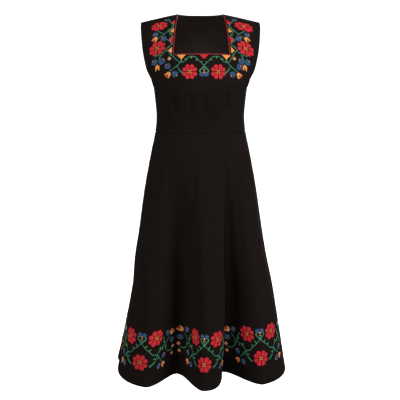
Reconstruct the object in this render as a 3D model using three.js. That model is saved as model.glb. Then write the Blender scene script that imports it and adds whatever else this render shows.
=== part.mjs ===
// A sleeveless folk pinafore dress, filled out as it is worn: a fitted bodice with a square
// piped neck, and a six-gore skirt that hangs in one deep fold from each gore.
// Millimetres, +Z up. The front faces -Y and the wearer's left is +X.
// The origin is the middle of the neck, level with the top of the shoulder seams.
import * as THREE from 'three';

// ---- Driving dimensions ----
const CLOTH = 1.8; // thickness of the wall
const SEAM_GAP = 0.3; // between sewn pieces
const UNDERARM_Z = -228;
const WAIST_SEAM_Z = -369;
const FOLD_TOP_Z = -420; // the skirt's folds begin here
const HEM_Z = -1192;

const NECK_HALF_WIDTH_TOP = 72.5;
const NECK_HALF_WIDTH_BOTTOM = 90;
const NECK_BOTTOM = 0.355; // share of the way from the underarm to the shoulder seam
const BACK_NECK_TOP = 0.85; // the same, at the middle of the back neck
const PIPING_RADIUS = 1.5;

const CUP = { x: 76, z: -212, height: 7, wide: 46, tall: 52 };

const FOLD_GROWTH = 1.35; // how the folds deepen towards the hem
const SEAM_TURN = 0.72; // how the seams swing towards their hem angles

const COLORS = { cloth: 0x1c1917, piping: 0xb3202a };

// ---- Tables ----
// Level sections of the body, without folds. The skirt hangs a little to one side, by its sway.
const BODY = [
  { z: HEM_Z, halfWidth: 309.5, front: 168, back: 172, sway: 3.5 },
  { z: -1050, halfWidth: 280, front: 160, back: 162, sway: 7 },
  { z: -900, halfWidth: 251, front: 150, back: 152, sway: 8 },
  { z: -790, halfWidth: 231, front: 143, back: 145, sway: 1.5 },
  { z: -700, halfWidth: 213, front: 136, back: 138, sway: 1 },
  { z: -560, halfWidth: 188, front: 124, back: 126, sway: 0 },
  { z: -450, halfWidth: 165, front: 111, back: 107, sway: 0 },
  { z: WAIST_SEAM_Z, halfWidth: 147.5, front: 101, back: 91, sway: 0 },
  { z: -320, halfWidth: 143, front: 104, back: 90, sway: 0 },
  { z: -262, halfWidth: 147, front: 119, back: 101, sway: 0 },
  { z: UNDERARM_Z, halfWidth: 151, front: 126, back: 106, sway: 0 },
];

// From the underarm (at 0) to the shoulder seam (at 1): the edge is the armhole, and the middle is
// the centre line of the front or back, which runs on through the neck opening.
const FRONT_YOKE_EDGE = [
  { at: 0.0, x: 151, y: 0, z: UNDERARM_Z },
  { at: 0.07, x: 153, y: -17, z: -221 },
  { at: 0.18, x: 160, y: -33, z: -199 },
  { at: 0.27, x: 170, y: -40, z: -178 },
  { at: 0.36, x: 176, y: -43, z: -156 },
  { at: 0.54, x: 183, y: -44, z: -117 },
  { at: 0.71, x: 187, y: -38, z: -77 },
  { at: 0.86, x: 189, y: -24, z: -43 },
  { at: 0.94, x: 189, y: -11, z: -29 },
  { at: 1.0, x: 189, y: 3, z: -24 },
];
const FRONT_YOKE_MIDDLE = [
  { at: 0.0, y: -126, z: UNDERARM_Z },
  { at: 0.2, y: -125, z: -171 },
  { at: 0.4, y: -115, z: -109 },
  { at: 0.6, y: -90, z: -53 },
  { at: 0.8, y: -50, z: -8 },
  { at: 1.0, y: 6, z: 14 },
];
const BACK_YOKE_EDGE = [
  { at: 0.0, x: 151, y: 0, z: UNDERARM_Z },
  { at: 0.07, x: 152.5, y: 16, z: -221 },
  { at: 0.18, x: 157, y: 33, z: -199 },
  { at: 0.28, x: 162, y: 41, z: -175 },
  { at: 0.46, x: 170, y: 46, z: -137 },
  { at: 0.64, x: 177, y: 45, z: -97 },
  { at: 0.82, x: 184, y: 33, z: -55 },
  { at: 0.92, x: 187, y: 18, z: -33 },
  { at: 1.0, x: 189, y: 3, z: -24 },
];
const BACK_YOKE_MIDDLE = [
  { at: 0.0, y: 106, z: UNDERARM_Z },
  { at: 0.2, y: 110, z: -170 },
  { at: 0.4, y: 107, z: -112 },
  { at: 0.6, y: 96, z: -56 },
  { at: 0.8, y: 64, z: -8 },
  { at: 1.0, y: 6, z: 14 },
];

// The seam between the front and its side panel, in degrees round the body from the middle of the front.
const PRINCESS_SEAM = [
  { row: 0, angle: 47 },
  { row: 0.4, angle: 51 },
  { row: 0.75, angle: 55 },
  { row: 1, angle: 63 },
];
const PRINCESS_SEAM_END = NECK_BOTTOM / 2; // where it runs out into the armhole, on the yoke's scale
const PRINCESS_SEAM_TIP = 3.5; // what is left of the side panel there, in degrees

// Each skirt seam lies in the bottom of a fold. Angles are in degrees, from the middle of the front.
const SKIRT_SEAMS = [
  { waistAngle: -29, hemAngle: -19, depth: 76, hemLift: 8 },
  { waistAngle: 32.5, hemAngle: 14.8, depth: 88, hemLift: 8 },
  { waistAngle: 90, hemAngle: 94, depth: 24, hemLift: 9 },
  { waistAngle: 146, hemAngle: 155, depth: 60, hemLift: 4 },
  { waistAngle: 214, hemAngle: 204, depth: 66, hemLift: 4 },
  { waistAngle: 270, hemAngle: 267, depth: 22, hemLift: 12 },
];
// Each gore reaches out furthest along its middle. A small ease makes that side of the fold steep.
const GORES = [
  { name: 'skirt_front', waistAngle: 1, hemAngle: 0, reach: 30, leftEase: 1.17, rightEase: 0.15 },
  { name: 'skirt_side_front_left', waistAngle: 60, hemAngle: 38, reach: 27, leftEase: 1.1, rightEase: 1 },
  { name: 'skirt_side_back_left', waistAngle: 118, hemAngle: 124, reach: 26, leftEase: 1, rightEase: 0.8 },
  { name: 'skirt_back', waistAngle: 180, hemAngle: 179, reach: 30, leftEase: 0.8, rightEase: 1.1 },
  { name: 'skirt_side_back_right', waistAngle: 242, hemAngle: 237, reach: 28, leftEase: 1, rightEase: 1 },
  { name: 'skirt_side_front_right', waistAngle: 300, hemAngle: 324, reach: 30, leftEase: 1, rightEase: 0.95 },
];

// How finely each piece is divided.
const GORE_ROWS = 15;
const GORE_COLUMNS = 16;
const BODICE_ROWS = 6; // from the waist seam to the underarm
const YOKE_ROWS_BELOW_NECK = 4;
const YOKE_ROWS_BESIDE_NECK = 6;
const NECK_COLUMNS = 8;
const STRAP_COLUMNS = 5;
const SIDE_COLUMNS = 3;
const PIPING_SIDES = 8;

// ---- Curves through the tables ----
const mix = (a, b, share) => a + (b - a) * share;
const clamp01 = (value) => Math.min(1, Math.max(0, value));
const smoothStep = (share) => share * share * (3 - 2 * share);
const range = (count) => Array.from({ length: count + 1 }, (_, i) => i / count);

// The slope of a table's column at one row, from the rows on either side.
function slopeAt(table, key, column, i) {
  const before = table[Math.max(0, i - 1)];
  const after = table[Math.min(table.length - 1, i + 1)];
  return (after[column] - before[column]) / (after[key] - before[key]);
}

// A smooth curve through one column of a table whose key rises from row to row.
function smooth(table, key, column, at) {
  const last = table.length - 1;
  const place = Math.min(table[last][key], Math.max(table[0][key], at));
  let i = 0;
  while (i < last - 1 && place >= table[i + 1][key]) i += 1;
  const [low, high] = [table[i], table[i + 1]];
  const span = high[key] - low[key];
  const s = (place - low[key]) / span;
  const rise = (high[column] - low[column]) * smoothStep(s);
  const leave = s * (1 - s) * (1 - s) * span * slopeAt(table, key, column, i);
  const arrive = s * s * (s - 1) * span * slopeAt(table, key, column, i + 1);
  return low[column] + rise + leave + arrive;
}

// ---- The body's surface ----
// A point on the level section at height z, pushed out by a distance.
function sectionPoint(degrees, z, push = 0) {
  const halfWidth = smooth(BODY, 'z', 'halfWidth', z);
  const angle = THREE.MathUtils.degToRad(degrees);
  const [sin, cos] = [Math.sin(angle), Math.cos(angle)];
  const depth = smooth(BODY, 'z', cos > 0 ? 'front' : 'back', z);
  const outward = new THREE.Vector2(sin / halfWidth, -cos / depth).setLength(push);
  const sway = smooth(BODY, 'z', 'sway', z);
  return new THREE.Vector3(halfWidth * sin + outward.x + sway, -depth * cos + outward.y, z);
}

// How far a bust cup pushes the front forward.
function cupHeight(x, z) {
  const across = (Math.abs(x) - CUP.x) / CUP.wide;
  const along = (z - CUP.z) / CUP.tall;
  return CUP.height * Math.exp(-across * across - along * along);
}

// The bodice: row runs from 0 at the waist seam to 1 at the underarm and 2 at the shoulder seam.
function bodicePoint(degrees, row) {
  const isFront = Math.cos(THREE.MathUtils.degToRad(degrees)) > 0;
  const fromMiddle = isFront ? degrees : 180 - degrees;
  const across = Math.sin(THREE.MathUtils.degToRad(fromMiddle));
  let point;
  if (row <= 1) {
    point = sectionPoint(degrees, mix(WAIST_SEAM_Z, UNDERARM_Z, row));
  } else {
    const at = row - 1;
    const edge = isFront ? FRONT_YOKE_EDGE : BACK_YOKE_EDGE;
    const middle = isFront ? FRONT_YOKE_MIDDLE : BACK_YOKE_MIDDLE;
    const share = Math.abs(across);
    const roundness = mix(2, 1, smoothStep(clamp01(at / 0.3)));
    const drop = mix(3.5, 1.2, smoothStep(clamp01((at - NECK_BOTTOM) / (1 - NECK_BOTTOM))));
    const bend = 1 - Math.max(0, 1 - share * share) ** (1 / roundness);
    point = new THREE.Vector3(
      smooth(edge, 'at', 'x', at) * across,
      mix(smooth(middle, 'at', 'y', at), smooth(edge, 'at', 'y', at), bend),
      mix(smooth(middle, 'at', 'z', at), smooth(edge, 'at', 'z', at), share ** drop),
    );
  }
  if (isFront) point.y -= cupHeight(point.x, point.z) * Math.cos(THREE.MathUtils.degToRad(degrees));
  return point;
}

// The skirt: gore number, share of the way across it, and row from 0 at the waist seam to 1 at the hem.
function skirtPoint(gore, across, row) {
  if (across < 0) return skirtPoint((gore + 5) % 6, across + 1, row);
  if (across > 1) return skirtPoint((gore + 1) % 6, across - 1, row);
  const fold = GORES[gore];
  const isLeft = across < 0.5;
  const seam = SKIRT_SEAMS[isLeft ? gore : (gore + 1) % 6];
  const z = mix(WAIST_SEAM_Z, HEM_Z, row);
  const turn = Math.max(0, row) ** SEAM_TURN;
  const seamAngle = mix(seam.waistAngle, seam.hemAngle, turn);
  const middleAngle = mix(fold.waistAngle, fold.hemAngle, turn);
  const swing = THREE.MathUtils.euclideanModulo(middleAngle - seamAngle + 180, 360) - 180;
  const ease = isLeft ? fold.leftEase : fold.rightEase;
  const inward = isLeft ? across * 2 : (1 - across) * 2; // 0 at the seam, 1 at the gore's middle
  const degrees = seamAngle + swing * inward * (ease + (1 - ease) * inward * inward);
  const growth = clamp01((FOLD_TOP_Z - z) / (FOLD_TOP_Z - HEM_Z)) ** FOLD_GROWTH;
  const rise = (1 - Math.cos(Math.PI * inward)) / 2;
  const point = sectionPoint(degrees, z, growth * mix(-seam.depth, fold.reach, rise));
  point.z += growth * growth * seam.hemLift * (1 - rise);
  return point;
}

// ---- Walls ----
// An outer point of a surface and the inner one straight behind it.
function wallPoint(surface, across, along) {
  const step = 1e-3;
  const outer = surface(across, along);
  const acrossStep = surface(across + step, along).sub(surface(across - step, along));
  const alongStep = surface(across, along + step).sub(surface(across, along - step));
  const normal = acrossStep.cross(alongStep).normalize();
  return { outer, inner: outer.clone().addScaledVector(normal, -CLOTH) };
}

// Draws the border of a grid in by half the seam gap.
function trimBorder(grid) {
  const [lastRow, lastColumn] = [grid.length - 1, grid[0].length - 1];
  const draw = (point, towards) => {
    for (const side of ['outer', 'inner']) {
      const move = towards[side].clone().sub(point[side]).setLength(SEAM_GAP / 2);
      point[side].add(move);
    }
  };
  for (const row of grid) {
    draw(row[0], row[1]);
    draw(row[lastColumn], row[lastColumn - 1]);
  }
  for (let j = 0; j <= lastColumn; j += 1) {
    draw(grid[0][j], grid[1][j]);
    draw(grid[lastRow][j], grid[lastRow - 1][j]);
  }
  return grid;
}

// Closes a grid of wall points into one solid. Rows run up and columns run to the wearer's left
// across the front, so that the faces point outwards.
function wallGeometry(grid, hasCell = () => true) {
  const [rows, columns] = [grid.length, grid[0].length];
  const positions = [];
  for (const row of grid) {
    for (const { outer, inner } of row) positions.push(...outer, ...inner);
  }
  const outerAt = (i, j) => (i * columns + j) * 2;
  const innerAt = (i, j) => outerAt(i, j) + 1;
  const isCell = (i, j) => i >= 0 && j >= 0 && i < rows - 1 && j < columns - 1 && hasCell(i, j);
  const indices = [];
  const quad = (a, b, c, d) => indices.push(a, b, c, a, c, d);
  const rim = (i0, j0, i1, j1) => {
    quad(innerAt(i0, j0), innerAt(i1, j1), outerAt(i1, j1), outerAt(i0, j0));
  };
  for (let i = 0; i < rows - 1; i += 1) {
    for (let j = 0; j < columns - 1; j += 1) {
      if (!isCell(i, j)) continue;
      quad(outerAt(i, j), outerAt(i, j + 1), outerAt(i + 1, j + 1), outerAt(i + 1, j));
      quad(innerAt(i, j), innerAt(i + 1, j), innerAt(i + 1, j + 1), innerAt(i, j + 1));
      if (!isCell(i - 1, j)) rim(i, j, i, j + 1);
      if (!isCell(i + 1, j)) rim(i + 1, j + 1, i + 1, j);
      if (!isCell(i, j - 1)) rim(i + 1, j, i, j);
      if (!isCell(i, j + 1)) rim(i, j + 1, i + 1, j + 1);
    }
  }
  const geometry = new THREE.BufferGeometry();
  geometry.setAttribute('position', new THREE.Float32BufferAttribute(positions, 3));
  geometry.setIndex(indices);
  geometry.computeVertexNormals();
  return geometry;
}

function clothMesh(name, geometry, color = COLORS.cloth) {
  const material = new THREE.MeshStandardMaterial({ color, roughness: 0.9, metalness: 0 });
  const mesh = new THREE.Mesh(geometry, material);
  mesh.name = name;
  return mesh;
}

// ---- Bodice ----
const yokeRowsBelowNeck = range(YOKE_ROWS_BELOW_NECK).map((s) => 1 + s * NECK_BOTTOM);
const yokeRowsBesideNeck = range(YOKE_ROWS_BESIDE_NECK).map((s) => 1 + mix(NECK_BOTTOM, 1, s));
const BODICE_ROW_PLACES = [
  ...range(BODICE_ROWS).slice(0, -1),
  ...yokeRowsBelowNeck.slice(0, -1),
  ...yokeRowsBesideNeck,
];
const FIRST_NECK_ROW = BODICE_ROWS + YOKE_ROWS_BELOW_NECK;

// The neck's side edge, in degrees from the middle of the front; below the neck it runs on down.
function neckAngle(row) {
  const up = clamp01((row - 1 - NECK_BOTTOM) / (1 - NECK_BOTTOM));
  const halfWidth = mix(NECK_HALF_WIDTH_BOTTOM, NECK_HALF_WIDTH_TOP, up);
  const edge = smooth(FRONT_YOKE_EDGE, 'at', 'x', Math.max(row - 1, NECK_BOTTOM));
  return THREE.MathUtils.radToDeg(Math.asin(halfWidth / edge));
}

// The front panel's side: the princess seam, and above its end the armhole.
function frontEdgeAngle(row) {
  if (row <= 1) return smooth(PRINCESS_SEAM, 'row', 'angle', row);
  const lowest = PRINCESS_SEAM[PRINCESS_SEAM.length - 1].angle;
  const up = (row - 1) / PRINCESS_SEAM_END;
  return up > 1.01 ? 90 : mix(lowest, 90 - PRINCESS_SEAM_TIP, up);
}

// Angles of the columns of a front or back row, with columns that follow the neck's side edges.
function columnAngles(row, edgeAngle) {
  const strap = range(STRAP_COLUMNS).slice(1).map((s) => mix(neckAngle(row), edgeAngle, s));
  const neck = range(NECK_COLUMNS).map((s) => mix(-neckAngle(row), neckAngle(row), s));
  return [...strap.map((angle) => -angle).reverse(), ...neck, ...strap];
}

// At the shoulder seam the front and the back share one normal, so that their walls don't cross.
function shoulderNormalPoint(degrees) {
  const front = wallPoint(bodicePoint, degrees, 2 - 2e-3);
  const back = wallPoint(bodicePoint, 180 - degrees, 2 - 2e-3);
  const frontNormal = front.outer.sub(front.inner);
  const backNormal = back.outer.sub(back.inner);
  const outer = bodicePoint(degrees, 2);
  return { outer, inner: outer.clone().sub(frontNormal.add(backNormal).setLength(CLOTH)) };
}

function bodiceFront() {
  const grid = BODICE_ROW_PLACES.map((row) =>
    columnAngles(row, frontEdgeAngle(row)).map((degrees) =>
      row < 2 ? wallPoint(bodicePoint, degrees, row) : shoulderNormalPoint(degrees),
    ),
  );
  const isNeck = (i, j) => i >= FIRST_NECK_ROW && j >= STRAP_COLUMNS && j < STRAP_COLUMNS + NECK_COLUMNS;
  return clothMesh('bodice_front', wallGeometry(trimBorder(grid), (i, j) => !isNeck(i, j)));
}

function bodiceSideFront(name, side) {
  const rows = BODICE_ROW_PLACES.filter((row) => row < 1.01 + PRINCESS_SEAM_END);
  const grid = rows.map((row) => {
    const angles = range(SIDE_COLUMNS).map((s) => mix(frontEdgeAngle(row), 89.95, s));
    const across = side > 0 ? angles : angles.map((angle) => -angle).reverse();
    return across.map((degrees) => wallPoint(bodicePoint, degrees, row));
  });
  return clothMesh(name, wallGeometry(trimBorder(grid)));
}

// The top of the back dips between the shoulder seams, from the neck points to the nape.
function backRow(row, degreesFromMiddle) {
  const across = Math.min(1, Math.abs(degreesFromMiddle) / neckAngle(2));
  const top = mix(BACK_NECK_TOP, 1, across ** 2);
  return row <= 1 ? row : 1 + (row - 1) * top;
}

function bodiceBack() {
  const grid = BODICE_ROW_PLACES.map((row) =>
    columnAngles(row, 89.95).map((degrees) => {
      const isShoulder = row === 2 && Math.abs(degrees) >= neckAngle(2) - 1e-6;
      return isShoulder
        ? shoulderNormalPoint(-degrees)
        : wallPoint(bodicePoint, 180 + degrees, backRow(row, degrees));
    }),
  );
  return clothMesh('bodice_back', wallGeometry(trimBorder(grid)));
}

// ---- Neck piping ----
// A round tube that follows a run of points, closed at both ends.
function tubeGeometry(points) {
  const positions = [];
  const indices = [];
  points.forEach((point, i) => {
    const before = points[Math.max(0, i - 1)];
    const after = points[Math.min(points.length - 1, i + 1)];
    const along = after.centre.clone().sub(before.centre).normalize();
    const side = point.outward.clone().addScaledVector(along, -point.outward.dot(along)).normalize();
    const lift = along.clone().cross(side);
    for (let k = 0; k < PIPING_SIDES; k += 1) {
      const turn = (2 * Math.PI * k) / PIPING_SIDES;
      const ring = point.centre.clone();
      ring.addScaledVector(side, PIPING_RADIUS * Math.cos(turn));
      ring.addScaledVector(lift, PIPING_RADIUS * Math.sin(turn));
      positions.push(...ring);
    }
  });
  for (let i = 0; i < points.length - 1; i += 1) {
    for (let k = 0; k < PIPING_SIDES; k += 1) {
      const next = (k + 1) % PIPING_SIDES;
      const [a, b] = [i * PIPING_SIDES + k, i * PIPING_SIDES + next];
      indices.push(a, b, b + PIPING_SIDES, a, b + PIPING_SIDES, a + PIPING_SIDES);
    }
  }
  const last = (points.length - 1) * PIPING_SIDES;
  for (let k = 1; k < PIPING_SIDES - 1; k += 1) {
    indices.push(0, k + 1, k, last, last + k, last + k + 1);
  }
  const geometry = new THREE.BufferGeometry();
  geometry.setAttribute('position', new THREE.Float32BufferAttribute(positions, 3));
  geometry.setIndex(indices);
  geometry.computeVertexNormals();
  return geometry;
}

// A point of the piping's middle: beside the neck edge, towards the opening.
function pipingPoint(degrees, row, towards) {
  const { outer, inner } = wallPoint(bodicePoint, degrees, row);
  const away = PIPING_RADIUS + SEAM_GAP + 0.1;
  return {
    centre: outer.clone().add(inner).multiplyScalar(0.5).addScaledVector(towards, away),
    outward: outer.clone().sub(inner).normalize(),
  };
}

function neckPipingSide(name, side) {
  const towardsOpening = new THREE.Vector3(-side, 0, 0);
  const lowest = 1 + NECK_BOTTOM + 0.004;
  const highest = 2 - 0.003;
  const points = range(2 * YOKE_ROWS_BESIDE_NECK).map((s) => {
    const row = mix(lowest, highest, s);
    return pipingPoint(side * neckAngle(row), row, towardsOpening);
  });
  return clothMesh(name, tubeGeometry(points), COLORS.piping);
}

function neckPipingFront() {
  const row = 1 + NECK_BOTTOM;
  const upwards = new THREE.Vector3(0, 0, 1);
  const clearOfSides = neckAngle(row) * (1 - (2 * PIPING_RADIUS + 3 * SEAM_GAP) / NECK_HALF_WIDTH_BOTTOM);
  const angles = range(NECK_COLUMNS).map((s) => mix(-clearOfSides, clearOfSides, s));
  const points = angles.map((degrees) => pipingPoint(degrees, row, upwards));
  return clothMesh('neck_piping_front', tubeGeometry(points), COLORS.piping);
}

// ---- Skirt ----
function skirtGore(gore) {
  const surface = (across, along) => skirtPoint(gore, across, 1 - along);
  const grid = range(GORE_ROWS).map((along) =>
    range(GORE_COLUMNS).map((across) => wallPoint(surface, across, along)),
  );
  return clothMesh(GORES[gore].name, wallGeometry(trimBorder(grid)));
}

// ---- The dress ----
const dress = new THREE.Group();
dress.name = 'folk_pinafore_dress';

const bodice = new THREE.Group();
bodice.add(bodiceFront());
bodice.add(bodiceSideFront('bodice_side_front_left', 1));
bodice.add(bodiceSideFront('bodice_side_front_right', -1));
bodice.add(bodiceBack());
dress.add(bodice);

const piping = new THREE.Group();
piping.add(neckPipingSide('neck_piping_left', 1));
piping.add(neckPipingFront());
piping.add(neckPipingSide('neck_piping_right', -1));
dress.add(piping);

const skirt = new THREE.Group();
GORES.forEach((_, gore) => skirt.add(skirtGore(gore)));
dress.add(skirt);

export default dress;
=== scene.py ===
import math

import bpy
import numpy as np
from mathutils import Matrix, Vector


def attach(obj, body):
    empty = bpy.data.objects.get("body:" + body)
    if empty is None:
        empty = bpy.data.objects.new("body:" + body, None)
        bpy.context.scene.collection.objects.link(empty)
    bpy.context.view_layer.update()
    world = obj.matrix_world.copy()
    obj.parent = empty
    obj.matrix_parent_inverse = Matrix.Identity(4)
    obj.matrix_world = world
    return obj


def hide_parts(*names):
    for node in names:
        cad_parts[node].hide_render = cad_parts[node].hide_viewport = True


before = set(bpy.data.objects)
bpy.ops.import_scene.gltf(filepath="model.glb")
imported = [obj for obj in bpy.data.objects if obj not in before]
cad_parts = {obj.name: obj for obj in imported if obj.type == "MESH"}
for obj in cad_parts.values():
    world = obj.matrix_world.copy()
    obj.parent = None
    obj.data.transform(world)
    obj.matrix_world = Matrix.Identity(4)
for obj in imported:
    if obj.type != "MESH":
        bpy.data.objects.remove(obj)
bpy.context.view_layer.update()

scene = bpy.context.scene
print("frame loaded:", len(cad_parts), "nodes")

# Camera

cameraSettings = {
    "place": (-0.0819, -2.3461, -0.1010),
    "target": (0, 0, -0.6),
    "lens": 64.71,
    "sensor": 36,
    "shiftX": -0.001,
}


def makeCamera(settings):
    data = bpy.data.cameras.new("camera")
    data.lens = settings["lens"]
    data.sensor_width = settings["sensor"]
    data.shift_x = settings["shiftX"]
    data.clip_start = 0.05
    data.clip_end = 60
    camera = bpy.data.objects.new("camera", data)
    scene.collection.objects.link(camera)
    camera.location = settings["place"]
    towards = Vector(settings["target"]) - Vector(settings["place"])
    camera.rotation_euler = towards.to_track_quat("-Z", "Y").to_euler()
    scene.camera = camera


makeCamera(cameraSettings)
print("camera placed")

# The cut, in metres, as the CAD part has it

levels = {
    "underarm": -0.228,
    "waist": -0.369,
    "foldTop": -0.420,
    "hem": -1.192,
}
neckCut = {
    "halfTop": 0.0725,
    "halfBottom": 0.090,
    "bottom": 0.355,  # share of the yoke's height
    "backTop": 0.85,
}
cupShape = {"x": 0.076, "z": -0.212, "height": 0.007, "wide": 0.046, "tall": 0.052}
bodyCurves = {
    "z": [-1.192, -1.050, -0.900, -0.790, -0.700, -0.560, -0.450, -0.369, -0.320, -0.262, -0.228],
    "halfWidth": [0.3095, 0.280, 0.251, 0.231, 0.213, 0.188, 0.165, 0.1475, 0.143, 0.147, 0.151],
    "front": [0.168, 0.160, 0.150, 0.143, 0.136, 0.124, 0.111, 0.101, 0.104, 0.119, 0.126],
    "back": [0.172, 0.162, 0.152, 0.145, 0.138, 0.126, 0.107, 0.091, 0.090, 0.101, 0.106],
    "sway": [0.0035, 0.007, 0.008, 0.0015, 0.001, 0, 0, 0, 0, 0, 0],
}
yokeCurves = {
    "frontEdge": {
        "at": [0, 0.07, 0.18, 0.27, 0.36, 0.54, 0.71, 0.86, 0.94, 1],
        "x": [0.151, 0.153, 0.160, 0.170, 0.176, 0.183, 0.187, 0.189, 0.189, 0.189],
        "y": [0, -0.017, -0.033, -0.040, -0.043, -0.044, -0.038, -0.024, -0.011, 0.003],
        "z": [-0.228, -0.221, -0.199, -0.178, -0.156, -0.117, -0.077, -0.043, -0.029, -0.024],
    },
    "frontMiddle": {
        "at": [0, 0.2, 0.4, 0.6, 0.8, 1],
        "y": [-0.126, -0.125, -0.115, -0.090, -0.050, 0.006],
        "z": [-0.228, -0.171, -0.109, -0.053, -0.008, 0.014],
    },
    "backEdge": {
        "at": [0, 0.07, 0.18, 0.28, 0.46, 0.64, 0.82, 0.92, 1],
        "x": [0.151, 0.1525, 0.157, 0.162, 0.170, 0.177, 0.184, 0.187, 0.189],
        "y": [0, 0.016, 0.033, 0.041, 0.046, 0.045, 0.033, 0.018, 0.003],
        "z": [-0.228, -0.221, -0.199, -0.175, -0.137, -0.097, -0.055, -0.033, -0.024],
    },
    "backMiddle": {
        "at": [0, 0.2, 0.4, 0.6, 0.8, 1],
        "y": [0.106, 0.110, 0.107, 0.096, 0.064, 0.006],
        "z": [-0.228, -0.170, -0.112, -0.056, -0.008, 0.014],
    },
}
princessSeam = {"row": [0, 0.4, 0.75, 1], "angle": [47, 51, 55, 63], "end": 0.1775, "tip": 0.0035}
skirtSeams = {
    "waistAngle": [-29, 32.5, 90, 146, 214, 270],
    "hemAngle": [-19, 14.8, 94, 155, 204, 267],
    "depth": [0.076, 0.088, 0.024, 0.060, 0.066, 0.022],
    "hemLift": [0.008, 0.008, 0.009, 0.004, 0.004, 0.012],
    "turn": 0.72,
    "growth": 1.35,
}
gores = {
    "name": [
        "skirt_front",
        "skirt_side_front_left",
        "skirt_side_back_left",
        "skirt_back",
        "skirt_side_back_right",
        "skirt_side_front_right",
    ],
    "waistAngle": [1, 60, 118, 180, 242, 300],
    "hemAngle": [0, 38, 124, 179, 237, 324],
    "reach": [0.030, 0.027, 0.026, 0.030, 0.028, 0.030],
    "leftEase": [1.17, 1.1, 1, 0.8, 1, 1],
    "rightEase": [0.15, 1, 0.8, 1.1, 1, 0.95],
}


def mix(low, high, share):
    return low + (high - low) * share


def smoothStep(share):
    share = np.clip(share, 0, 1)
    return share * share * (3 - 2 * share)


def curveThrough(table, key, column, at):
    keys, values = np.array(table[key], float), np.array(table[column], float)
    slopes = np.gradient(values, keys, edge_order=1)
    slopes[1:-1] = (values[2:] - values[:-2]) / (keys[2:] - keys[:-2])
    place = np.clip(at, keys[0], keys[-1])
    i = np.clip(np.searchsorted(keys, place, side="right") - 1, 0, len(keys) - 2)
    span = keys[i + 1] - keys[i]
    s = (place - keys[i]) / span
    rise = (values[i + 1] - values[i]) * (s * s * (3 - 2 * s))
    bend = s * (1 - s) ** 2 * span * slopes[i] + s * s * (s - 1) * span * slopes[i + 1]
    return values[i] + rise + bend


def sectionPoint(degrees, z, push=0.0):
    angle = np.radians(degrees)
    sin, cos = np.sin(angle), np.cos(angle)
    halfWidth = curveThrough(bodyCurves, "z", "halfWidth", z)
    front = curveThrough(bodyCurves, "z", "front", z)
    back = curveThrough(bodyCurves, "z", "back", z)
    depth = np.where(cos > 0, front, back)
    outX, outY = sin / halfWidth, -cos / depth
    length = np.hypot(outX, outY)
    x = halfWidth * sin + push * outX / length + curveThrough(bodyCurves, "z", "sway", z)
    return np.stack([x, -depth * cos + push * outY / length, z + 0 * x], -1)


def bodicePoint(degrees, row):
    degrees, row = np.broadcast_arrays(np.asarray(degrees, float), np.asarray(row, float))
    cosine = np.cos(np.radians(degrees))
    isFront = cosine > 0
    across = np.sin(np.radians(np.where(isFront, degrees, 180 - degrees)))
    low = sectionPoint(degrees, mix(levels["waist"], levels["underarm"], np.minimum(row, 1)))
    at = np.clip(row - 1, 0, 1)
    share = np.abs(across)
    halves = []
    for side in ("front", "back"):
        edge, middle = yokeCurves[side + "Edge"], yokeCurves[side + "Middle"]
        roundness = mix(2, 1, smoothStep(at / 0.3))
        drop = mix(3.5, 1.2, smoothStep((at - neckCut["bottom"]) / (1 - neckCut["bottom"])))
        bend = 1 - np.maximum(0, 1 - share * share) ** (1 / roundness)
        x = curveThrough(edge, "at", "x", at) * across
        y = mix(curveThrough(middle, "at", "y", at), curveThrough(edge, "at", "y", at), bend)
        z = mix(curveThrough(middle, "at", "z", at), curveThrough(edge, "at", "z", at), share**drop)
        halves.append(np.stack([x, y, z], -1))
    high = np.where(isFront[..., None], halves[0], halves[1])
    point = np.where((row <= 1)[..., None], low, high)
    sideways = (np.abs(point[..., 0]) - cupShape["x"]) / cupShape["wide"]
    upwards = (point[..., 2] - cupShape["z"]) / cupShape["tall"]
    bump = cupShape["height"] * np.exp(-(sideways**2) - upwards**2)
    point[..., 1] -= np.where(isFront, bump * cosine, 0)
    return point


def gorePoint(gore, across, row):
    z = mix(levels["waist"], levels["hem"], row)
    turn = np.maximum(0, row) ** skirtSeams["turn"]
    isLeft = across < 0.5
    other = (gore + 1) % 6

    def seamValue(name):
        return np.where(isLeft, skirtSeams[name][gore], skirtSeams[name][other])

    seamAngle = mix(seamValue("waistAngle"), seamValue("hemAngle"), turn)
    middleAngle = mix(gores["waistAngle"][gore], gores["hemAngle"][gore], turn)
    swing = np.mod(middleAngle - seamAngle + 180, 360) - 180
    ease = np.where(isLeft, gores["leftEase"][gore], gores["rightEase"][gore])
    inward = np.where(isLeft, across * 2, (1 - across) * 2)
    degrees = seamAngle + swing * inward * (ease + (1 - ease) * inward * inward)
    fall = (levels["foldTop"] - z) / (levels["foldTop"] - levels["hem"])
    growth = np.clip(fall, 0, 1) ** skirtSeams["growth"]
    rise = (1 - np.cos(np.pi * inward)) / 2
    push = growth * mix(-seamValue("depth"), gores["reach"][gore], rise)
    point = sectionPoint(degrees, z, push)
    point[..., 2] += growth * growth * seamValue("hemLift") * (1 - rise)
    return point


def skirtPoint(around, row):  # around counts gores, 0 to 6
    around, row = np.broadcast_arrays(np.asarray(around, float), np.asarray(row, float))
    around = np.mod(around, 6)
    whole = np.minimum(np.floor(around).astype(int), 5)
    point = np.zeros(around.shape + (3,))
    for gore in range(6):
        here = whole == gore
        if here.any():
            point[here] = gorePoint(gore, around[here] - gore, row[here])
    return point


def unitVector(vectors):
    return vectors / np.maximum(np.linalg.norm(vectors, axis=-1, keepdims=True), 1e-12)


def surfaceNormal(pointAt, across, row, stepAcross, stepRow, upSign):
    sideways = pointAt(across + stepAcross, row) - pointAt(across - stepAcross, row)
    upwards = (pointAt(across, row + stepRow) - pointAt(across, row - stepRow)) * upSign
    return unitVector(np.cross(sideways, upwards))


# Creases: soft lines in the cloth, each with its path, width and depth

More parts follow.
